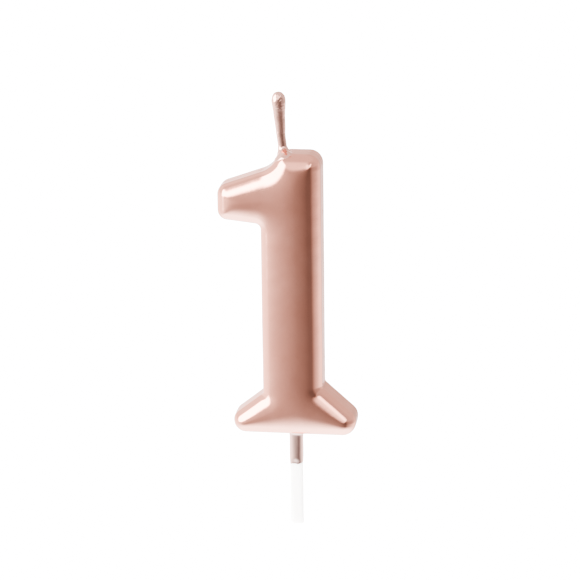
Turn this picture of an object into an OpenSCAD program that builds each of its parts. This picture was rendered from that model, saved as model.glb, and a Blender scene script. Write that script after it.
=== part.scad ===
// Number birthday candle: a moulded wax digit "1" on a plastic pick, with a plaited cotton wick,
// all dipped in a metallic lacquer. Millimetres. +Z is up and the front faces -Y.
// The origin is on the pick's axis, at the underside of the digit, where the icing of a cake comes to.

/* [Digit] */
// Height of the digit, from its underside to the top of the stem
digit_h = 70; // [60:0.5:80]
// Thickness of the digit from front to back
digit_t = 12; // [10.5:0.5:14]
// Width of the stem
stem_w = 14.6; // [13.5:0.1:16]
// How far the middle of the stem stands off the pick's axis
stem_x = -0.4; // [-1:0.1:1]
// Width of the base across both feet
base_w = 30; // [28:0.5:33]
// How far the flag's tip reaches from the pick's axis
flag_reach = 18; // [16:0.5:20]
// Height of the flag's blunt tip
flag_tip_h = 7.9; // [7:0.1:9]

/* [Relief] */
// Radius that rounds the front and back edges
edge_r = 3.2; // [2.8:0.1:3.4]
// How much the front and back faces bulge beyond the rounded edges
crown = 0.7; // [0.5:0.05:0.8]

/* [Lacquer] */
// Thickness of the lacquer on the digit
coat_t = 0.2; // [0.15:0.05:0.3]
// Thickness of the lacquer on the wick and on the pick
film_t = 0.1; // [0.1:0.05:0.2]
// How far down the pick the lacquer was dipped
dip_h = 8.4; // [6:0.2:14]

/* [Wick] */
// How far the waxed wick stands above the top of the stem
wick_rise = 14.3; // [11:0.1:18]
// Lean of the whole wick towards the flag, in degrees
wick_lean = 2.6; // [1.5:0.1:3]
// Radius of the waxed wick at its narrowest, just above its foot
shank_r = 0.8; // [0.75:0.05:1.1]
// Radius of the wax bead on the tip of the wick
bead_r = 1.45; // [1.3:0.05:1.8]
// Radius of the wax foot where the wick leaves the digit
foot_r = 1.4; // [1.2:0.1:1.8]
// Length in which each strand of the plait repeats
plait_pitch = 4.5; // [4:0.5:7]

/* [Pick] */
// Length of the pick below the digit
pick_l = 24.3; // [18:0.1:35]
// Width of the pick
pick_w = 3.1; // [2.8:0.1:3.4]
// Thickness of the pick from front to back
pick_t = 2.3; // [2:0.1:2.6]
// Number of barbs that anchor the pick in the wax
barbs = 3; // [2:1:3]

/* [Hidden] */

eps = 0.01;
far = 1000;
$fn = 48;
lacquer_colour = [0.80, 0.53, 0.46];
wax_colour = [0.96, 0.93, 0.88];
cotton_colour = [0.93, 0.90, 0.84];
pick_colour = [0.95, 0.95, 0.93];

// Digit outline
stem_l = stem_x - stem_w / 2;
stem_r = stem_x + stem_w / 2;
foot_l = -base_w / 2;
foot_r_x = base_w / 2;
flag_l = -flag_reach;
flag_low = digit_h - 16.2;
ridge_r = 0.45;
side_cut = 11;

// Rounded edge: it leaves the side wall square on and meets the crowned face at crown_slope
crown_slope = 18;
edge_turn = 90 - crown_slope;
edge_steps = 5;
crown_steps = 3;
wall_half = digit_t / 2 - crown - edge_r * sin(edge_turn);
opening_x = pick_w / 2 + film_t;
opening_y = pick_t / 2 + film_t;

// Corners of the outline, seen from the front and going counter-clockwise. Each has its place x, z,
// the radius that rounds it, the number of facets of that round, and x, z of the point on the ridge
// of the relief that the surface rises to from there. The first two are at the pick's opening.
corners = [
    [-opening_x, 0, 0, 0, -1.0, 6.2],
    [opening_x, 0, 0, 0, 1.0, 6.2],
    [foot_r_x, 0, 3.4, 6, foot_r_x - 4.0, 3.1],
    [foot_r_x, 4.9, 3.2, 4, foot_r_x - 4.0, 4.3],
    [stem_r, 12.1, 1.1, 4, stem_x + 1.0, 9.4],
    [stem_r, digit_h, 3.3, 6, stem_x + 1.0, digit_h - 6.9],
    [stem_x - 2.6, digit_h, 4.2, 4, stem_x - 0.9, digit_h - 6.9],
    [stem_x - 5.1, digit_h - 3.9, 6.6, 4, stem_x - 2.6, digit_h - 8.2],
    [flag_l, flag_low + flag_tip_h, 2.6, 5, flag_l + 4.0, flag_low + 5.0],
    [flag_l, flag_low, 2.5, 6, flag_l + 4.0, flag_low + 3.8],
    [stem_l, flag_low - 1.2, 1.4, 6, stem_x - 1.2, flag_low + 3.0],
    [stem_l, 10.1, 1.1, 4, stem_x - 1.2, 8.2],
    [foot_l, 4.4, 2.4, 4, foot_l + 3.9, 4.1],
    [foot_l, 0, 3.1, 6, foot_l + 3.9, 3.0],
];

// Wick
wick_base = 9.4;
wick_top = digit_h + wick_rise - wick_base;
wick_foot = digit_h - wick_base;
plait_a = 0.44;
plait_b = 0.235;
strand_r = 0.19;
strand_sides = 6;
rings_per_pitch = 8;
wick_bore_r = plait_a + strand_r + 0.05;
strand_tip = wick_top - 1.1;

// Pick
pick_round = 0.9;
head_top = 12.5;
fork_gap = 2 * wick_bore_r + 0.3;
barb_w = 4.8;
barb_h = 2.6;
barb_low = 3.2;

function unit(v) = v / norm(v);
function turned(v, angle) = [v.x * cos(angle) - v.y * sin(angle), v.x * sin(angle) + v.y * cos(angle)];
function right_of(v) = [v.y, -v.x];

// One rounded corner p between its neighbours a and b, as [point, outward normal] in steps facets
function round_corner(a, p, b, r, steps) =
    let (
        side_in = unit(p - a),
        side_out = unit(b - p),
        turn = atan2(cross(side_in, side_out), side_in * side_out)
    )
    steps == 0
        ? [[p, turned(right_of(side_in), turn / 2)]]
        : let (
            bulge = sign(turn),
            centre = p + unit(side_out - side_in) * r / cos(turn / 2)
        )
        [
            for (k = [0:steps])
                let (normal = turned(right_of(side_in), turn * k / steps))
                [centre + bulge * r * normal, normal]
        ];

// The rounded corners of a closed loop of points
function round_corners(points, radii, steps) =
    let (n = len(points))
    [
        for (i = [0:n - 1])
            round_corner(points[(i + n - 1) % n], points[i], points[(i + 1) % n], radii[i], steps[i])
    ];

// The whole loop: each rounded corner, then the side after it cut into cuts pieces
function closed_loop(rounds, cuts) =
    let (n = len(rounds))
    [
        for (i = [0:n - 1])
            let (last = rounds[i][len(rounds[i]) - 1], next = rounds[(i + 1) % n][0])
            each [
                each rounds[i],
                for (k = [1:1:cuts[i] - 1])
                    [last[0] + (next[0] - last[0]) * k / cuts[i], last[1]],
            ]
    ];

corner_steps = [for (c = corners) c[3]];
outline_rounds = round_corners([for (c = corners) [c[0], c[1]]], [for (c = corners) c[2]], corner_steps);
ridge_rounds = round_corners([for (c = corners) [c[4], c[5]]], [for (c = corners) ridge_r], corner_steps);
side_cuts = [
    for (i = [0:len(corners) - 1])
        let (
            last = outline_rounds[i][len(outline_rounds[i]) - 1][0],
            next = outline_rounds[(i + 1) % len(corners)][0][0]
        )
        ceil(norm(next - last) / side_cut)
];
outline = closed_loop(outline_rounds, side_cuts);
ridge = closed_loop(ridge_rounds, side_cuts);

// A ring on the rounded edge, inset below the outer surface and turned by angle from the side wall
function edge_ring(inset, angle, side) =
    let (r = edge_r - inset, depth = edge_r - r * cos(angle), y = side * (wall_half + r * sin(angle)))
    [for (s = outline) let (p = s[0] - s[1] * depth) [p.x, y, p.y]];

// How far the ridge stands above the rounded edge at each point of the outline
edge_y = wall_half + edge_r * sin(edge_turn);
rises = [
    for (i = [0:len(outline) - 1])
        let (edge = outline[i][0] - outline[i][1] * edge_r * (1 - cos(edge_turn)))
        min(crown, norm(ridge[i][0] - edge) * tan(crown_slope) / 2)
];

// A ring of the crowned face, share of the way from the rounded edge to the ridge
function crown_ring(inset, share, side) =
    let (start = edge_ring(inset, edge_turn, side))
    [
        for (i = [0:len(start) - 1])
            let (
                low = side * start[i].y,
                high = edge_y + rises[i] - inset
            )
            [
                start[i].x + (ridge[i][0].x - start[i].x) * share,
                side * (low + (high - low) * (1 - (1 - share) ^ 2)),
                start[i].z + (ridge[i][0].y - start[i].z) * share,
            ]
    ];

// The triangles round a stack of count rings of n points each, without the first one in the middle if open
function skin(count, n, open) = [
    for (j = [0:count - 2], i = [0:n - 1])
        if (!open || i > 0 || j != count / 2 - 1)
            let (a = j * n + i, b = j * n + (i + 1) % n)
            each [[a, b + n, a + n], [a, b, b + n]]
];

function blocks(p, a, b, c) =
    p != a && p != b && p != c
    && cross(b - a, p - a) > -eps && cross(c - b, p - b) > -eps && cross(a - c, p - c) > -eps;

// Length of the cut that takes corner i off the loop, or far where that cut isn't clear of the other points
function ear_cut(flat, left, i) =
    let (
        n = len(left),
        a = flat[left[(i + n - 1) % n]],
        b = flat[left[i]],
        c = flat[left[(i + 1) % n]],
        convex = cross(b - a, c - b) > eps * eps
    )
    convex && len([for (k = left) if (blocks(flat[k], a, b, c)) k]) == 0 ? norm(c - a) : far;

// Triangles that fill a flat loop, taking the corner with the shortest cut each time; left lists what is left
function fill(flat, left) =
    let (n = len(left))
    n < 4
        ? [left]
        : let (
            cuts = [for (i = [0:n - 1]) ear_cut(flat, left, i)],
            best = search(min(cuts), cuts)[0]
        )
        [
            [left[(best + n - 1) % n], left[best], left[(best + 1) % n]],
            each fill(flat, [for (k = [0:n - 1]) if (k != best) left[k]]),
        ];

function backwards(faces) = [for (f = faces) [f[2], f[1], f[0]]];
function shifted(faces, by) = [for (f = faces) [f[0] + by, f[1] + by, f[2] + by]];

// The rings of the digit's surface from the front ridge to the back one, inset by a thickness all round
function digit_rings(inset) = [
    for (k = [crown_steps:-1:1]) crown_ring(inset, k / crown_steps, -1),
    for (k = [edge_steps:-1:0]) edge_ring(inset, edge_turn * k / edge_steps, -1),
    for (side = [-1, 1]) [for (p = edge_ring(inset, 0, side)) [p.x, side * opening_y, p.z]],
    for (k = [0:edge_steps]) edge_ring(inset, edge_turn * k / edge_steps, 1),
    for (k = [1:crown_steps]) crown_ring(inset, k / crown_steps, 1),
];

size = len(outline);
count = 2 * (crown_steps + edge_steps + 2);
ridge_fill = fill([for (s = ridge) s[0]], [for (i = [0:size - 1]) i]);
digit_caps = concat(backwards(ridge_fill), shifted(ridge_fill, (count - 1) * size));

// The digit's shape, inset by a thickness all round
module digit(inset) {
    polyhedron(
        points = [for (ring = digit_rings(inset)) each ring],
        faces = concat(skin(count, size, false), digit_caps)
    );
}

// The film on the digit, open at the pick, between the digit's surface and the one under the film
module digit_film() {
    corner = (count / 2 - 1) * size;
    opening = [corner, corner + 1, corner + size + 1, corner + size];
    inner = count * size;
    faces = concat(skin(count, size, true), digit_caps);
    polyhedron(
        points = [for (inset = [0, coat_t], ring = digit_rings(inset)) each ring],
        faces = concat(
            faces,
            shifted(backwards(faces), inner),
            [
                for (k = [0:3])
                    let (a = opening[k], b = opening[(k + 1) % 4])
                    each [[a, b, b + inner], [a, b + inner, a + inner]]
            ]
        )
    );
}

// The wick's own frame: +Z runs up the wick from its lower end in the pick
module wick_frame() {
    translate([0, 0, wick_base]) rotate([0, -wick_lean, 0]) children();
}

// The waxed wick above the digit, grown by a film thickness, as one solid of revolution
module waxed_wick(grow) {
    bead_z = wick_top - bead_r;
    shank = shank_r + grow;
    bead = bead_r + grow;
    rotate_extrude()
        polygon([
            [0, wick_foot - 5],
            [foot_r + grow, wick_foot - 5],
            [foot_r + grow, wick_foot + 0.2],
            for (k = [1:4])
                let (angle = 90 * k / 4)
                [
                    shank + (foot_r + grow - shank) * (1 - sin(angle)),
                    wick_foot + 0.2 + 2.2 * (1 - cos(angle)),
                ],
            for (k = [0:8])
                let (angle = -12 + 102 * k / 8)
                [max(bead * cos(angle), 0), bead_z + bead * sin(angle)],
        ]);
}

module wick_bore() {
    translate([0, 0, -eps]) cylinder(r = wick_bore_r, h = strand_tip + 0.1 + eps);
}

// One strand of the three-strand plait
module strand(number) {
    phase = 120 * number;
    rings = floor(strand_tip / plait_pitch * rings_per_pitch) + 1;
    last = (rings - 1) * strand_sides;
    end = [for (s = [1:strand_sides - 2]) [0, s, s + 1]];
    polyhedron(
        points = [
            for (k = [0:rings - 1], s = [0:strand_sides - 1])
                let (
                    h = strand_tip * k / (rings - 1),
                    turn = 360 * h / plait_pitch + phase,
                    around = 360 * s / strand_sides
                )
                [
                    plait_a * sin(turn) + strand_r * cos(around),
                    plait_b * sin(2 * turn) + strand_r * sin(around),
                    h,
                ]
        ],
        faces = concat(
            backwards(skin(rings, strand_sides, false)),
            end,
            shifted(backwards(end), last)
        )
    );
}

// Cross-section of the pick, grown by a film thickness
module pick_section(grow) {
    w = pick_w + 2 * grow;
    t = pick_t + 2 * grow;
    r = pick_round + grow;
    square([w - 2 * r, t], center = true);
    square([w, t - 2 * r], center = true);
    for (x = [-1, 1], y = [-1, 1])
        translate([x * (w / 2 - r), y * (t / 2 - r)]) circle(r = r);
}

// Half of the barbed head's profile, from the lowest barb up: each barb is widest at its underside
function barb_side(side) = [
    for (k = [0:barbs - 1])
        let (low = barb_low + k * barb_h)
        each [
            [side * pick_w / 2, low],
            [side * barb_w / 2, low],
            [side * barb_w / 2, low + 0.5],
            [side * pick_w / 2, low + barb_h - 0.3],
        ],
    [side * pick_w / 2, head_top - 0.5],
    [side * (pick_w / 2 - 0.3), head_top],
];

module pick_solid() {
    right = barb_side(1);
    left = barb_side(-1);
    difference() {
        union() {
            translate([0, 0, -pick_l]) linear_extrude(pick_l + barb_low) pick_section(0);
            rotate([90, 0, 0])
                linear_extrude(pick_t, center = true)
                    polygon([each right, for (k = [len(left) - 1:-1:0]) left[k]]);
        }
        wick_frame()
            translate([-fork_gap / 2, -pick_t, -0.3])
                cube([fork_gap, 2 * pick_t, head_top]);
    }
}

module wax_body() {
    color(wax_colour)
        difference() {
            digit(coat_t);
            pick_solid();
            wick_frame() wick_bore();
        }
}

module body_lacquer() {
    color(lacquer_colour)
        difference() {
            digit_film();
            wick_frame() translate([0, 0, wick_foot - 5]) cylinder(r = foot_r, h = 10);
        }
}

module wick_strand(number) {
    color(cotton_colour) wick_frame() strand(number);
}

module wick_wax() {
    color(wax_colour)
        difference() {
            wick_frame() waxed_wick(0);
            wick_frame() wick_bore();
            digit(coat_t);
        }
}

module wick_lacquer() {
    color(lacquer_colour)
        difference() {
            wick_frame() waxed_wick(film_t);
            wick_frame() waxed_wick(0);
            digit(0);
        }
}

module pick() {
    color(pick_colour) pick_solid();
}

module pick_lacquer() {
    color(lacquer_colour)
        difference() {
            union() {
                translate([0, 0, -dip_h]) linear_extrude(dip_h) pick_section(film_t);
                translate([-opening_x, -opening_y, 0]) cube([2 * opening_x, 2 * opening_y, coat_t]);
            }
            translate([0, 0, -pick_l]) linear_extrude(2 * pick_l) pick_section(0);
        }
}

wax_body();
body_lacquer();
wick_strand(1);  // wick_strand_1
wick_strand(2);  // wick_strand_2
wick_strand(3);  // wick_strand_3
wick_wax();
wick_lacquer();
pick();
pick_lacquer();
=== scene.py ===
import bpy
import math
import numpy as np
from mathutils import Matrix, Vector, noise
from mathutils.bvhtree import BVHTree
from mathutils.geometry import delaunay_2d_cdt


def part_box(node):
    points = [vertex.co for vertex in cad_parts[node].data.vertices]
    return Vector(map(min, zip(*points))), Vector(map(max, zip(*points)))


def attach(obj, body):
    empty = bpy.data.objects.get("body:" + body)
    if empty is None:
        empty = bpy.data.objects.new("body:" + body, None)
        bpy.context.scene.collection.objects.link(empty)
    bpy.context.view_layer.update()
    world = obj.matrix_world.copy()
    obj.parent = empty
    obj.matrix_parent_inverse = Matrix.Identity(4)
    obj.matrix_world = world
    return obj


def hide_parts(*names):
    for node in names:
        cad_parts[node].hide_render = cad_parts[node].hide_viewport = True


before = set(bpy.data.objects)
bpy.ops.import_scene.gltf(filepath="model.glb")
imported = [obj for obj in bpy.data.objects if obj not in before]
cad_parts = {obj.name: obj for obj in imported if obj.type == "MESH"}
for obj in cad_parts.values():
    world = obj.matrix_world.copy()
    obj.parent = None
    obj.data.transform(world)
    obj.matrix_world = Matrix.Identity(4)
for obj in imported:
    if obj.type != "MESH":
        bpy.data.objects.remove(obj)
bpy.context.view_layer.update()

MM = 0.001
BODY = "candle"


def extent(node):
    """A CAD node's lowest and highest corners, in mm."""
    return [[round(c / MM, 1) for c in corner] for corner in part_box(node)]


digit_lo, digit_hi = extent("body_lacquer")
DIGIT_H, DIGIT_T = digit_hi[2], digit_hi[1] - digit_lo[1]
FOOT_END, FLAG_REACH = digit_hi[0], -digit_lo[0]
PICK_L = -extent("pick")[0][2]
DIP_H = -extent("pick_lacquer")[0][2]
WICK_TOP_Z = extent("wick_lacquer")[1][2]

# The other dimensions, as in the CAD model (mm, degrees)
STEM_X, STEM_W, FLAG_TIP_H = -0.4, 14.6, 7.9
STEM_L, STEM_R = STEM_X - STEM_W / 2, STEM_X + STEM_W / 2
FLAG_LOW = DIGIT_H - 16.2
EDGE_R, CROWN_SLOPE = 3.2, 18.0
PICK_W, PICK_T = 3.1, 2.3
WICK_BASE, WICK_LEAN = 9.4, 2.6

# How fast the crowned faces level off away from their edges (per mm)
CROWN_FLAT = 0.35
# Mesh spacing on the lacquer, and on the wax that it hides (mm)
LACQUER_STEP, CORE_STEP = 0.45, 1.0
# How far the digit's wax, and the wick's, lie under the lacquer's surface (mm)
DIGIT_INSET, WICK_INSET = 0.3, 0.1

# Outline corners, counter-clockwise from the front: x, z, rounding radius
CORNERS = [
    (FOOT_END, 0.0, 3.4), (FOOT_END, 4.9, 3.2), (STEM_R, 12.1, 1.1), (STEM_R, DIGIT_H, 3.3),
    (STEM_X - 2.6, DIGIT_H, 4.2), (STEM_X - 5.1, DIGIT_H - 3.9, 6.6),
    (-FLAG_REACH, FLAG_LOW + FLAG_TIP_H, 2.6), (-FLAG_REACH, FLAG_LOW, 2.5),
    (STEM_L, FLAG_LOW - 1.2, 1.4), (STEM_L, 10.1, 1.1), (-FOOT_END, 4.4, 2.4), (-FOOT_END, 0.0, 3.1),
]


# ---------------------------------------------------------------- mesh helpers
def new_object(name, verts_mm, faces):
    mesh = bpy.data.meshes.new(name)
    mesh.from_pydata([tuple(c * MM for c in v) for v in verts_mm], [], [tuple(f) for f in faces])
    mesh.update()
    mesh.validate()
    for p in mesh.polygons:
        p.use_smooth = True
    obj = bpy.data.objects.new(name, mesh)
    bpy.context.scene.collection.objects.link(obj)
    return obj


def band_faces(rows, around, flip=True):
    """Quads between closed rows of points that follow each other in one list."""
    faces = []
    for j in range(rows - 1):
        for i in range(around):
            a, b = j * around + i, j * around + (i + 1) % around
            faces.append((a, a + around, b + around, b) if flip else (a, b, b + around, a + around))
    return faces


def turned(v, angle):
    """A flat vector turned anticlockwise."""
    c, s = math.cos(angle), math.sin(angle)
    return np.array([v[0] * c - v[1] * s, v[0] * s + v[1] * c])


def outline(step):
    """Points and outward normals round the digit's outline, about step mm apart."""
    pts = [np.array(c[:2]) for c in CORNERS]
    arcs = []
    for i, (x, z, r) in enumerate(CORNERS):
        p, a, b = pts[i], pts[i - 1], pts[(i + 1) % len(pts)]
        u, w = (p - a) / np.linalg.norm(p - a), (b - p) / np.linalg.norm(b - p)
        turn = math.atan2(u[0] * w[1] - u[1] * w[0], float(u @ w))
        bulge = math.copysign(1, turn)
        centre = p + (w - u) / np.linalg.norm(w - u) * r / math.cos(turn / 2)
        n = max(5, math.ceil(abs(turn) * max(r, 2.2) / step))
        first = np.array([u[1], -u[0]])
        normals = [turned(first, turn * k / n) for k in range(n + 1)]
        arcs.append([(centre + bulge * r * normal, normal) for normal in normals])
    out = []
    for i, arc in enumerate(arcs):
        out += arc
        last, nxt = arc[-1], arcs[(i + 1) % len(arcs)][0]
        n = max(1, round(float(np.linalg.norm(nxt[0] - last[0])) / step))
        out += [(last[0] + (nxt[0] - last[0]) * k / n, last[1]) for k in range(1, n)]
    return np.array([o[0] for o in out]), np.array([o[1] for o in out])


def inside(points, loop):
    """Whether each point is inside the loop."""
    x, y = points[:, 0][:, None], points[:, 1][:, None]
    a, b = loop, np.roll(loop, -1, axis=0)
    crosses = (a[:, 1] > y) != (b[:, 1] > y)
    at = a[:, 0] + (y - a[:, 1]) * (b[:, 0] - a[:, 0]) / np.where(b[:, 1] == a[:, 1], 1e-9, b[:, 1] - a[:, 1])
    return (crosses & (x < at)).sum(1) % 2 == 1


def solve(rows, cols, vals, diag, rhs, free):
    """Conjugate gradients for the free unknowns of a symmetric system."""
    n = len(diag)

    def mul(v):
        return diag * v + np.bincount(rows, vals * v[cols], n)

    x = np.zeros(n)
    mask = free.astype(float)
    r = rhs * mask
    z = r / diag
    p = z.copy()
    rz = r @ z
    for _ in range(1500):
        q = mul(p) * mask
        alpha = rz / (p @ q)
        x += alpha * p
        r -= alpha * q
        if np.abs(r).max() < 1e-9:
            break
        z = r / diag
        rz, old = r @ z, rz
        p = z + rz / old * p
    return x


def crowned_face(loop, step):
    """A flat mesh inside the loop, and its height over it when it leaves it everywhere at CROWN_SLOPE."""
    lo, hi = loop.min(0), loop.max(0)
    grid = []
    for j, z in enumerate(np.arange(lo[1], hi[1], step * 0.866)):
        for x in np.arange(lo[0] + (j % 2) * step / 2, hi[0], step):
            grid.append((x, z))
    grid = np.array(grid)
    grid = grid[inside(grid, loop)]
    near = np.array([np.min(np.sum((loop - g) ** 2, axis=1)) for g in grid])
    grid = grid[near > (0.62 * step) ** 2]
    n = len(loop)
    coords = [Vector(p) for p in loop] + [Vector(p) for p in grid]
    edges = [(i, (i + 1) % n) for i in range(n)]
    verts, _, faces, *_ = delaunay_2d_cdt(coords, edges, [], 1, 1e-5)
    verts = np.array([tuple(v) for v in verts])
    assert len(verts) == len(coords), "a point was merged"
    tris = np.array([f for f in faces])
    a, b, c = verts[tris[:, 0]], verts[tris[:, 1]], verts[tris[:, 2]]
    area = 0.5 * ((b[:, 0] - a[:, 0]) * (c[:, 1] - a[:, 1]) - (b[:, 1] - a[:, 1]) * (c[:, 0] - a[:, 0]))
    tris[area < 0] = tris[area < 0][:, ::-1]
    area = np.abs(area)
    total = len(verts)
    rows, cols, vals = [], [], []
    for i in range(3):
        p, q, r = tris[:, i], tris[:, (i + 1) % 3], tris[:, (i + 2) % 3]
        cot = np.sum((verts[p] - verts[r]) * (verts[q] - verts[r]), axis=1) / (2 * area)
        rows += [p, q]
        cols += [q, p]
        vals += [-cot / 2, -cot / 2]
    rows, cols, vals = np.concatenate(rows), np.concatenate(cols), np.concatenate(vals)
    diag = -np.bincount(rows, vals, total)
    load = np.bincount(tris.ravel(), np.repeat(area / 3, 3), total)
    free = np.ones(total, bool)
    free[:n] = False
    u = solve(rows, cols, vals, diag + CROWN_FLAT ** 2 * load, load, free)
    length = np.linalg.norm(np.roll(loop, -1, 0) - loop, axis=1)
    length = (length + np.roll(length, 1)) / 2
    flux = load - (diag * u + np.bincount(rows, vals * u[cols], total))
    g = flux[:n] / length
    for _ in range(4):
        g = 0.25 * np.roll(g, 1) + 0.5 * g + 0.25 * np.roll(g, -1)
    full = np.zeros(total)
    full[:n] = g
    rhs = -(diag * full + np.bincount(rows, vals * full[cols], total))
    full += solve(rows, cols, vals, diag, rhs, free)
    return verts, tris, math.tan(math.radians(CROWN_SLOPE)) * u / full


def ripple(p, scale, amount, seed):
    """Smooth noise with a given wavelength and height, in mm."""
    return amount * noise.noise(Vector((p[0] / scale + seed, p[1] / scale - seed, p[2] / scale + 2 * seed)))


def unevenness(p):
    """How far the cast surface stands out from its true shape."""
    return ripple(p, 9.0, 0.05, 1.7) + ripple(p, 3.2, 0.014, 5.3) - 0.02


def parting_line(p):
    """How far the seam of the mould stands out."""
    return 0.035 + ripple(p, 2.2, 0.05, 3.1)


def digit_surface(name, step, inset, fine):
    """The whole cast digit as one closed mesh; a fine one has its unevenness and its parting line."""
    pts, nor = outline(step)
    n = len(pts)
    turn = math.radians(90 - CROWN_SLOPE)
    loop = pts - nor * EDGE_R * (1 - math.cos(turn))
    flat, tris, rise = crowned_face(loop, step * 1.05)
    edge_y = DIGIT_T / 2 - rise.max() - 0.02
    wall = edge_y - EDGE_R * math.sin(turn)
    arc = 16 if fine else 6
    angles = [turn * k / arc for k in range(arc + 1)]

    # Rings from the front ridge to the back one: depth inside the outline, y, tilt, side
    rings = [(EDGE_R * (1 - math.cos(a)), -(wall + EDGE_R * math.sin(a)), a, -1) for a in reversed(angles)]
    rings += [(0.0, wall * t, 0.0, 0) for t in ((-0.62, -0.22, -0.11, 0, 0.11, 0.22, 0.62) if fine else (0,))]
    rings += [(EDGE_R * (1 - math.cos(a)), wall + EDGE_R * math.sin(a), a, 1) for a in angles]
    verts = []
    for d, y, a, side in rings:
        for p, m in zip(pts, nor):
            q = p - m * d
            normal = np.array([m[0] * math.cos(a), side * math.sin(a), m[1] * math.cos(a)])
            v = np.array([q[0], y, q[1]]) - normal * inset
            if fine and y == 0:
                v = v + normal * parting_line(v)
            if fine:
                v = v + normal * unevenness(v)
            verts.append(v)
    faces = band_faces(len(rings), n)
    for side, first in ((-1, 0), (1, (len(rings) - 1) * n)):
        start = len(verts)
        for k in range(n, len(flat)):
            v = np.array([flat[k][0], side * (edge_y + rise[k] - inset), flat[k][1]])
            if fine:
                v = v + np.array([0, side, 0]) * unevenness(v)
            verts.append(v)
        for t in tris:
            f = [first + i if i < n else start + i - n for i in t]
            faces.append(f if side < 0 else f[::-1])
    return new_object(name, verts, faces)


# ---------------------------------------------------------------- materials
def material(name):
    m = bpy.data.materials.new(name)
    m.use_nodes = True
    nt = m.node_tree
    nt.nodes.clear()
    out = nt.nodes.new("ShaderNodeOutputMaterial")
    shader = nt.nodes.new("ShaderNodeBsdfPrincipled")
    nt.links.new(shader.outputs["BSDF"], out.inputs["Surface"])
    return m, nt, shader


def add(nt, kind, inputs=None, **props):
    """A new node with its properties set and its inputs set or linked."""
    node = nt.nodes.new(kind)
    for k, v in props.items():
        setattr(node, k, v)
    for k, v in (inputs or {}).items():
        if isinstance(v, bpy.types.NodeSocket):
            nt.links.new(v, node.inputs[k])
        else:
            node.inputs[k].default_value = v
    return node


def place(nt, scale=(1, 1, 1)):
    """Coordinates fixed to the object, scaled."""
    tc = add(nt, "ShaderNodeTexCoord")
    return add(nt, "ShaderNodeMapping", {"Vector": tc.outputs["Object"], "Scale": scale}).outputs["Vector"]


def ramp(nt, fac, stops):
    node = add(nt, "ShaderNodeValToRGB", {"Fac": fac})
    r = node.color_ramp
    while len(r.elements) < len(stops):
        r.elements.new(0.5)
    for e, (pos, col) in zip(r.elements, stops):
        e.position = pos
        e.color = (*col, 1)
    return node.outputs["Color"]


def lacquer_material(name, thin, rough):
    """Rose-gold lacquer; where the film is thin, the white under it makes it paler."""
    m, nt, bsdf = material(name)
    at = place(nt)
    cloud = add(nt, "ShaderNodeTexNoise", {"Vector": at, "Scale": 130.0, "Detail": 3.0, "Roughness": 0.55})
    flake = add(nt, "ShaderNodeTexNoise", {"Vector": at, "Scale": 5200.0, "Detail": 1.0})
    peel = add(nt, "ShaderNodeTexNoise", {"Vector": at, "Scale": 620.0, "Detail": 2.0, "Roughness": 0.5})
    tones = ((0.84, 0.41, 0.315), (0.86, 0.425, 0.33), (0.87, 0.44, 0.345))
    paler = [tuple(c + (1 - c) * thin * share for c, share in zip(tone, (0.3, 1, 1))) for tone in tones]
    colour = ramp(nt, cloud.outputs["Fac"], list(zip((0.3, 0.5, 0.72), paler)))
    nt.links.new(colour, bsdf.inputs["Base Color"])
    bsdf.inputs["Metallic"].default_value = 1.0
    gloss = add(nt, "ShaderNodeMapRange", {"Value": cloud.outputs["Fac"], "From Min": 0.3, "From Max": 0.7,
                                           "To Min": rough, "To Max": rough + 0.04})
    nt.links.new(gloss.outputs["Result"], bsdf.inputs["Roughness"])
    bsdf.inputs["Specular Tint"].default_value = (1.0, 0.84, 0.79, 1.0)
    bsdf.inputs["Coat Weight"].default_value = 0.25
    bsdf.inputs["Coat Roughness"].default_value = 0.08
    bsdf.inputs["Coat IOR"].default_value = 1.45
    bump1 = add(nt, "ShaderNodeBump", {"Height": peel.outputs["Fac"], "Strength": 0.08, "Distance": 0.0001})
    bump2 = add(nt, "ShaderNodeBump", {"Height": flake.outputs["Fac"], "Strength": 0.04, "Distance": 0.00003,
                                        "Normal": bump1.outputs["Normal"]})
    nt.links.new(bump2.outputs["Normal"], bsdf.inputs["Normal"])
    return m


def wax_material():
    m, nt, bsdf = material("paraffin_wax")
    at = place(nt)
    cloud = add(nt, "ShaderNodeTexNoise", {"Vector": at, "Scale": 260.0, "Detail": 4.0})
    colour = ramp(nt, cloud.outputs["Fac"], [(0.3, (0.86, 0.80, 0.72)), (0.7, (0.93, 0.88, 0.82))])
    nt.links.new(colour, bsdf.inputs["Base Color"])
    bsdf.inputs["Roughness"].default_value = 0.45
    bsdf.inputs["Subsurface Weight"].default_value = 0.4
    bsdf.inputs["Subsurface Radius"].default_value = (0.004, 0.003, 0.002)
    bsdf.inputs["Subsurface Scale"].default_value = 1.0
    bump = add(nt, "ShaderNodeBump", {"Height": cloud.outputs["Fac"], "Strength": 0.2, "Distance": 0.0001})
    nt.links.new(bump.outputs["Normal"], bsdf.inputs["Normal"])
    return m


def cotton_material():
    m, nt, bsdf = material("cotton_yarn")
    at = place(nt, (1, 1, 0.25))
    fibre = add(nt, "ShaderNodeTexNoise", {"Vector": at, "Scale": 9000.0, "Detail": 2.0})
    colour = ramp(nt, fibre.outputs["Fac"], [(0.3, (0.80, 0.76, 0.68)), (0.7, (0.93, 0.90, 0.84))])
    nt.links.new(colour, bsdf.inputs["Base Color"])
    bsdf.inputs["Roughness"].default_value = 0.85
    bsdf.inputs["Sheen Weight"].default_value = 0.3
    bump = add(nt, "ShaderNodeBump", {"Height": fibre.outputs["Fac"], "Strength": 0.6, "Distance": 0.00006})
    nt.links.new(bump.outputs["Normal"], bsdf.inputs["Normal"])
    return m


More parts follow.
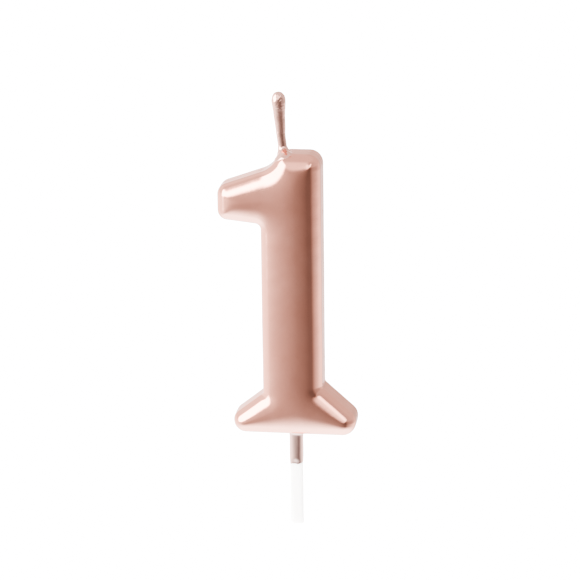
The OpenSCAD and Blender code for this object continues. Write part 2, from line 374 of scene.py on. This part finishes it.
def pick_material():
    m, nt, bsdf = material("white_pick_plastic")
    at = place(nt, (1, 1, 0.35))
    cloud = add(nt, "ShaderNodeTexNoise", {"Vector": at, "Scale": 420.0, "Detail": 3.0})
    colour = ramp(nt, cloud.outputs["Fac"], [(0.3, (0.81, 0.785, 0.765)), (0.7, (0.85, 0.83, 0.81))])
    nt.links.new(colour, bsdf.inputs["Base Color"])
    rough = add(nt, "ShaderNodeMapRange", {"Value": cloud.outputs["Fac"], "From Min": 0.3, "From Max": 0.7,
                                           "To Min": 0.28, "To Max": 0.42})
    nt.links.new(rough.outputs["Result"], bsdf.inputs["Roughness"])
    bsdf.inputs["Subsurface Weight"].default_value = 0.5
    bsdf.inputs["Subsurface Radius"].default_value = (0.003, 0.003, 0.0028)
    bsdf.inputs["Subsurface Scale"].default_value = 0.6
    bsdf.inputs["IOR"].default_value = 1.49
    fine = add(nt, "ShaderNodeTexNoise", {"Vector": at, "Scale": 2600.0, "Detail": 2.0})
    bump = add(nt, "ShaderNodeBump", {"Height": fine.outputs["Fac"], "Strength": 0.15, "Distance": 0.00004})
    nt.links.new(bump.outputs["Normal"], bsdf.inputs["Normal"])
    return m


LACQUER = lacquer_material("rose_gold_lacquer", 0.0, 0.07)
WICK_LACQUER = lacquer_material("rose_gold_lacquer_on_wick", 0.13, 0.14)
PICK_LACQUER = lacquer_material("rose_gold_lacquer_on_pick", 0.26, 0.08)
WAX, COTTON, PLASTIC = wax_material(), cotton_material(), pick_material()


def dress(obj, mat, slot, *nodes):
    """Give a piece its material, hang it on the candle's body and hide the CAD nodes it stands for."""
    obj.data.materials.clear()
    obj.data.materials.append(mat)
    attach(obj, BODY)
    if nodes:
        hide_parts(*nodes)


# ---------------------------------------------------------------- digit
digit = digit_surface("digit_lacquer", LACQUER_STEP, 0.0, True)
dress(digit, LACQUER, "lacquer", "body_lacquer")
core = digit_surface("digit_wax", CORE_STEP, DIGIT_INSET, False)
dress(core, WAX, "wax", "wax_body")


# ---------------------------------------------------------------- wick
AXIS = Vector((-math.sin(math.radians(WICK_LEAN)), 0, math.cos(math.radians(WICK_LEAN))))
# Heights where the foot ends and where the bead starts to close, and where the foot is centred (mm)
LOW_Z, BEAD_Z, FOOT_X = 71.3, 81.4, -2.42
# The flatter face of the wick is turned a little to the right
FACING = math.radians(13)

# Along the exposed wick: z, half width, half depth, and how far the wax sits to the right of the plait's axis
SHANK = [
    (71.2, 1.06, 0.78, 0.29), (72.4, 1.06, 0.78, 0.18), (73.7, 1.08, 0.80, 0.07), (75.0, 1.15, 0.85, 0.06),
    (76.3, 1.23, 0.92, 0.03), (78.0, 1.34, 1.03, -0.02), (79.6, 1.44, 1.20, -0.03), (80.8, 1.57, 1.36, -0.03),
    (81.8, 1.68, 1.40, -0.03), (82.2, 1.70, 1.40, -0.02), (84.3, 1.70, 1.40, 0.04),
]

digit_tree = BVHTree.FromPolygons([v.co / MM for v in digit.data.vertices],
                                  [tuple(p.vertices) for p in digit.data.polygons])


def axis_at(z):
    """The point on the wick's axis at a height."""
    return Vector((0, 0, WICK_BASE)) + AXIS * ((z - WICK_BASE) / AXIS.z)


def along_shank(z, column):
    """A column of the table at a height."""
    return float(np.interp(z, [row[0] for row in SHANK], [row[column] for row in SHANK]))


def smoothstep(t):
    t = max(0.0, min(1.0, t))
    return t * t * (3 - 2 * t)


def domed(z, start, power):
    """How far the bead has closed towards its tip."""
    t = max(0.0, min(1.0, (z - start) / (WICK_TOP_Z - start)))
    return (1 - t ** power) ** (1 / power)


def strand_reach(theta, z):
    """How far the plaited yarns under the wax reach from the axis in a direction."""
    pitch, swing, cross, r = 4.5, 0.50, 0.22, 0.40
    best = 0.0
    for k in (1, 2, 3):
        turn = 2 * math.pi * (z - WICK_BASE) / pitch + 2 * math.pi * k / 3
        cx, cy = swing * math.sin(turn), cross * math.sin(2 * turn)
        along = cx * math.cos(theta) + cy * math.sin(theta)
        across = -cx * math.sin(theta) + cy * math.cos(theta)
        if abs(across) < r and along > 0:
            best = max(best, along + math.sqrt(r * r - across * across))
    return best


def wick_point(theta, z, inset):
    """A point on the flattened shank or the bead, with the plait showing faintly low down."""
    half, deep = along_shank(z, 1) * domed(z, 81.8, 2.3), along_shank(z, 2) * domed(z, 80.7, 3.2)
    bead = smoothstep((z - 79.0) / 3.5)
    show = 0.35 * (1 - smoothstep((z - 75.0) / 4.5))
    a = theta - FACING
    power = (2.7 if math.cos(a) > 0 else 2.1) * (1 - bead) + 2.3 * bead
    flat = (abs(math.cos(a) / half) ** power + abs(math.sin(a) / deep) ** power) ** (-1 / power)
    r = flat + show * max(0.0, strand_reach(theta, z) * half - 0.93 * flat) - inset * min(1.0, flat / 0.4)
    if inset == 0:
        q = Vector((r * math.cos(theta), r * math.sin(theta), z))
        lump = noise.noise(q / 1.3) * 0.04 + noise.noise(q / 0.45) * (0.012 + 0.045 * bead)
        r += lump * min(1.0, flat / 0.6)
    centre = axis_at(z)
    return Vector((centre.x + along_shank(z, 3) + r * math.cos(theta), centre.y + r * math.sin(theta), z))


def foot_reach(c, s, inset):
    """How far the foot runs out over the digit: least to the left, furthest to the front."""
    reach = (2.1 if c > 0 else 1.5) * c * c + (1.8 if s > 0 else 4.3) * s * s
    return reach + 0.7 * max(0.0, c) * max(0.0, -s) - inset


def foot_column(theta, steps, inset):
    """Points up the foot in one direction, from inside the digit's top to the shank."""
    c, s = math.cos(theta), math.sin(theta)
    reach = foot_reach(c, s, inset)
    if inset == 0:
        reach += 0.16 * math.sin(5 * theta + 0.8) + 0.2 * noise.noise(Vector((2 * c, 2 * s, 7.7)))
    above = Vector((FOOT_X + reach * c, reach * s, DIGIT_H + 10))
    hit, normal, _, _ = digit_tree.ray_cast(above, Vector((0, 0, -1)))
    out = Vector((c, s, 0))
    slide = (out - normal * out.dot(normal)).normalized()
    front = max(0.0, -s) ** 2
    end = hit - normal * (0.02 + inset)
    top = wick_point(theta, LOW_Z, inset)
    out_pull = end - slide * (0.3 * reach) + normal * (0.12 * reach * front)
    down_pull = top - Vector((0, 0, (top.z - end.z) * (0.5 + 0.1 * front)))
    column = [end + slide * 0.25 - normal * 0.3]
    for k in range(steps + 1):
        t = k / steps
        p = end * (1 - t) ** 3 + out_pull * (3 * t * (1 - t) ** 2)
        p += down_pull * (3 * t * t * (1 - t)) + top * t ** 3
        if inset == 0 and 0 < k < steps:
            crumple = 0.06 + noise.noise(p / 0.8) * 0.12 + noise.noise(p / 0.4) * 0.08
            away = (p - axis_at(p.z)).normalized() * 0.6 + Vector((0, 0, 1))
            p += away * crumple * math.sin(math.pi * t)
        column.append(p)
    return column


def wick_surface(name, inset, around, up):
    """The wax or the film round the exposed wick, from its foot to its bead, as one closed mesh."""
    thetas = [2 * math.pi * i / around for i in range(around)]
    columns = [foot_column(theta, max(8, up // 5), inset) for theta in thetas]
    rows = [list(row) for row in zip(*columns)]
    caps = max(8, around // 3)
    levels = [LOW_Z + (BEAD_Z - LOW_Z) * k / up for k in range(1, up + 1)]
    bead_h = WICK_TOP_Z - inset - BEAD_Z
    levels += [BEAD_Z + bead_h * math.sin(math.pi / 2 * k / caps) for k in range(1, caps)]
    rows += [[wick_point(theta, z, inset) for theta in thetas] for z in levels]
    verts = [tuple(p) for row in rows for p in row]
    faces = band_faces(len(rows), around, flip=False)
    tip = len(verts)
    last = tip - around
    verts.append(tuple(axis_at(WICK_TOP_Z - inset) + Vector((along_shank(WICK_TOP_Z, 3), 0, 0))))
    faces += [(last + i, last + (i + 1) % around, tip) for i in range(around)]
    faces.append(tuple(range(around - 1, -1, -1)))
    return new_object(name, verts, faces)


wick = wick_surface("wick_lacquer_skin", 0.0, 72, 150)
dress(wick, WICK_LACQUER, "lacquer", "wick_lacquer")
sheath = wick_surface("wick_wax_sheath", WICK_INSET, 36, 60)
dress(sheath, WAX, "wax", "wick_wax")
for k in (1, 2, 3):
    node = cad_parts[f"wick_strand_{k}"]
    node.data.materials.clear()
    node.data.materials.append(COTTON)


# ---------------------------------------------------------------- pick
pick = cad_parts["pick"]
pick.data.materials.clear()
pick.data.materials.append(PLASTIC)
soften = pick.modifiers.new("softened_edges", "BEVEL")
soften.width = 0.12 * MM
soften.segments = 3
soften.limit_method = "ANGLE"
soften.angle_limit = math.radians(50)


def section(grow, power, around):
    """The pick's outline with the film on it: an ellipse with squared-off corners."""
    w, t = PICK_W / 2 + grow[0], PICK_T / 2 + grow[1]
    pts = []
    for i in range(around):
        a = 2 * math.pi * (i + 0.5) / around
        c, s = math.cos(a), math.sin(a)
        pts.append(np.array([c, s]) * (abs(c / w) ** power + abs(s / t) ** power) ** (-1 / power))
    return pts


def pick_film():
    """The film on the pick, which flares where it meets the digit and thins towards an uneven rim."""
    around, verts = 96, []
    heights = [0.25, 0.05, -0.12, -0.3, -0.5, -0.75, -1.05, -1.4]
    heights += [*np.arange(-1.8, -6.6, -0.4), *np.arange(-6.6, -8.2, -0.2), -8.2, -8.3, -8.36, -DIP_H]
    for z in heights:
        flare = 0.5 * math.exp(-(max(-z, 0) / 0.5) ** 1.1) if z < 0.2 else 0.45
        rim = smoothstep((z + DIP_H) / 1.7)
        low = max(0.0, min(1.0, -z / 6.5))
        film = 0.03 + 0.07 * rim + flare
        power = 2.5 - 0.3 * low * rim + 0.8 * (1 - rim)
        for q in section((film + 0.05 * low * rim, film + 0.13 * low * rim), power, around):
            edge = noise.noise(Vector((q[0] * 0.9, q[1] * 0.9, 4.2))) * 0.3 * min(1, max(0, (-z - 5) / 3.0))
            p = Vector((q[0], q[1], z + edge))
            p += Vector((q[0], q[1], 0)).normalized() * noise.noise(p / 1.1) * 0.015 * rim
            verts.append(tuple(p))
    faces = band_faces(len(heights), around)
    last = (len(heights) - 1) * around
    faces.append(tuple(range(around)))
    faces.append(tuple(last + i for i in range(around - 1, -1, -1)))
    return new_object("pick_lacquer_film", verts, faces)


film = pick_film()
dress(film, PICK_LACQUER, "lacquer", "pick_lacquer")

# ---------------------------------------------------------------- stage
bpy.ops.mesh.primitive_plane_add(size=1, location=(0, 0.3, -PICK_L * MM))
floor = bpy.context.object
floor.name = "floor"
floor.scale = (4, 4, 1)
mf, nt, bsdf = material("pale_floor")
grain = add(nt, "ShaderNodeTexNoise", {"Vector": place(nt), "Scale": 40.0, "Detail": 2.0})
pale = ramp(nt, grain.outputs["Fac"], [(0.3, (0.88, 0.88, 0.88)), (0.7, (0.9, 0.9, 0.9))])
nt.links.new(pale, bsdf.inputs["Base Color"])
bsdf.inputs["Roughness"].default_value = 0.8
bsdf.inputs["Emission Color"].default_value = (1, 1, 1, 1)
bsdf.inputs["Emission Strength"].default_value = 2.6
floor.data.materials.append(mf)
# The candle's gloss shows the world's brightness from below as well, so the floor is left out of reflections
floor.visible_glossy = False

world = bpy.data.worlds.new("studio")
bpy.context.scene.world = world
world.use_nodes = True
nt = world.node_tree
nt.nodes.clear()
out = nt.nodes.new("ShaderNodeOutputWorld")


def calc(op, *values):
    return add(nt, "ShaderNodeMath", dict(enumerate(values)), operation=op).outputs["Value"]


def smooth(value, start, end):
    """0 at start, 1 at end."""
    sockets = {"Value": value, "From Min": start, "From Max": end}
    return add(nt, "ShaderNodeMapRange", sockets, interpolation_type="SMOOTHSTEP").outputs["Result"]


def blend(factor, a, b):
    mix = add(nt, "ShaderNodeMix", data_type="FLOAT")
    for k, v in ((0, factor), (2, a), (3, b)):
        if isinstance(v, bpy.types.NodeSocket):
            nt.links.new(v, mix.inputs[k])
        else:
            mix.inputs[k].default_value = v
    return mix.outputs[0]


def softbox(centre, half, edge, lean=0.0, bow=0.0):
    """A round, soft-edged lamp that may lean or bow to the left.

    Its centre, half size and edge are in degrees, round the room and up."""
    rise = calc("SUBTRACT", el, centre[1])
    shift = calc("MULTIPLY", rise, calc("MULTIPLY_ADD", rise, bow, lean))
    aside = calc("ADD", calc("SUBTRACT", az, centre[0]), shift)
    across, along = calc("DIVIDE", aside, half[0]), calc("DIVIDE", rise, half[1])
    out = calc("SQRT", calc("ADD", calc("POWER", across, 2.0), calc("POWER", along, 2.0)))
    return smooth(out, 1 + edge / half[0], 1 - edge / half[0])


def round_the_room(*stops):
    """Brightness (0 to 2) by azimuth in degrees."""
    turns = calc("MULTIPLY_ADD", az, 1 / 360, 0.5)
    sky = ramp(nt, turns, [((a + 180) / 360, (v / 2,) * 3) for a, v in stops])
    return calc("MULTIPLY", sky, 2.0)


# Every direction's azimuth (0 in front of the digit, 90 to its right) and elevation, in degrees
ray = add(nt, "ShaderNodeSeparateXYZ", {"Vector": add(nt, "ShaderNodeTexCoord").outputs["Generated"]})
az = calc("DEGREES", calc("ARCTAN2", ray.outputs["X"], calc("MULTIPLY", ray.outputs["Y"], -1.0)))
el = calc("DEGREES", calc("ARCSINE", ray.outputs["Z"]))

# The studio's brightness in three bands, below, level with and above the candle
low = round_the_room((-180, 1.1), (-150, 1.8), (-120, 1.9), (-70, 1.6), (-30, 0.9), (0, 0.45), (20, 0.3),
                     (30, 0.3), (60, 0.75), (80, 1.0), (110, 1.5), (140, 1.5), (160, 1.0), (180, 1.1))
mid = round_the_room((-180, 1.1), (-150, 1.7), (-60, 1.6), (-40, 1.4), (-20, 0.9), (0, 0.45), (20, 0.25),
                     (30, 0.25), (50, 0.5), (90, 0.65), (130, 1.0), (160, 0.7), (180, 1.1))
high = round_the_room((-180, 0.8), (-130, 1.3), (0, 1.3), (20, 0.95), (40, 0.65), (100, 0.8), (180, 0.8))
room = blend(smooth(el, -19.0, -11.0), low, mid)
room = blend(smooth(el, 4.0, 14.0), room, high)
room = blend(smooth(el, 36.0, 64.0), room, 0.9)
room = blend(smooth(el, -25.0, -60.0), room, 2.7)
room = blend(softbox((-45, 20), (27, 32), 5, 0.2, 0.02), room, 5.5)
room = blend(softbox((10, 18), (13, 16), 6), room, 2.0)
room = blend(softbox((35, 25), (7, 12), 4, -0.9), room, 2.7)

# The camera sees plain white, and the light from below is a little cooler
seen = blend(add(nt, "ShaderNodeLightPath").outputs["Is Camera Ray"], room, 4.0)
tint = ramp(nt, smooth(el, -20.0, -50.0), [(0, (1, 1, 1)), (1, (0.9, 1.02, 1.08))])
bg = add(nt, "ShaderNodeBackground", {"Color": tint, "Strength": seen})
nt.links.new(bg.outputs["Background"], out.inputs["Surface"])

# ---------------------------------------------------------------- camera
AZ, EL, ROLL = math.radians(8.3), math.radians(17.0), math.radians(-0.694)
back = Vector((math.sin(AZ) * math.cos(EL), -math.cos(AZ) * math.cos(EL), math.sin(EL)))
right0 = Vector((math.cos(AZ), math.sin(AZ), 0))
up0 = Vector((-math.sin(AZ) * math.sin(EL), math.cos(AZ) * math.sin(EL), math.cos(EL)))
right = right0 * math.cos(ROLL) + up0 * math.sin(ROLL)
up = up0 * math.cos(ROLL) - right0 * math.sin(ROLL)
cam_data = bpy.data.cameras.new("camera")
cam = bpy.data.objects.new("camera", cam_data)
bpy.context.scene.collection.objects.link(cam)
cam_data.lens = 154.5
cam_data.sensor_width = 36.0
cam_data.clip_start, cam_data.clip_end = 0.01, 20
# The view's centre, and how far the camera stands from it (m)
aim = Vector((0.35, 0, 30)) * MM - right * 1.56 * MM + up * 5.46 * MM
DISTANCE = 0.6
cam.location = aim + back * DISTANCE
cam.rotation_mode = "QUATERNION"
cam.rotation_quaternion = Matrix((right, up, back)).transposed().to_quaternion()
bpy.context.scene.camera = cam
bpy.context.scene.view_settings.view_transform = "AgX"
bpy.context.scene.view_settings.look = "AgX - Very High Contrast"
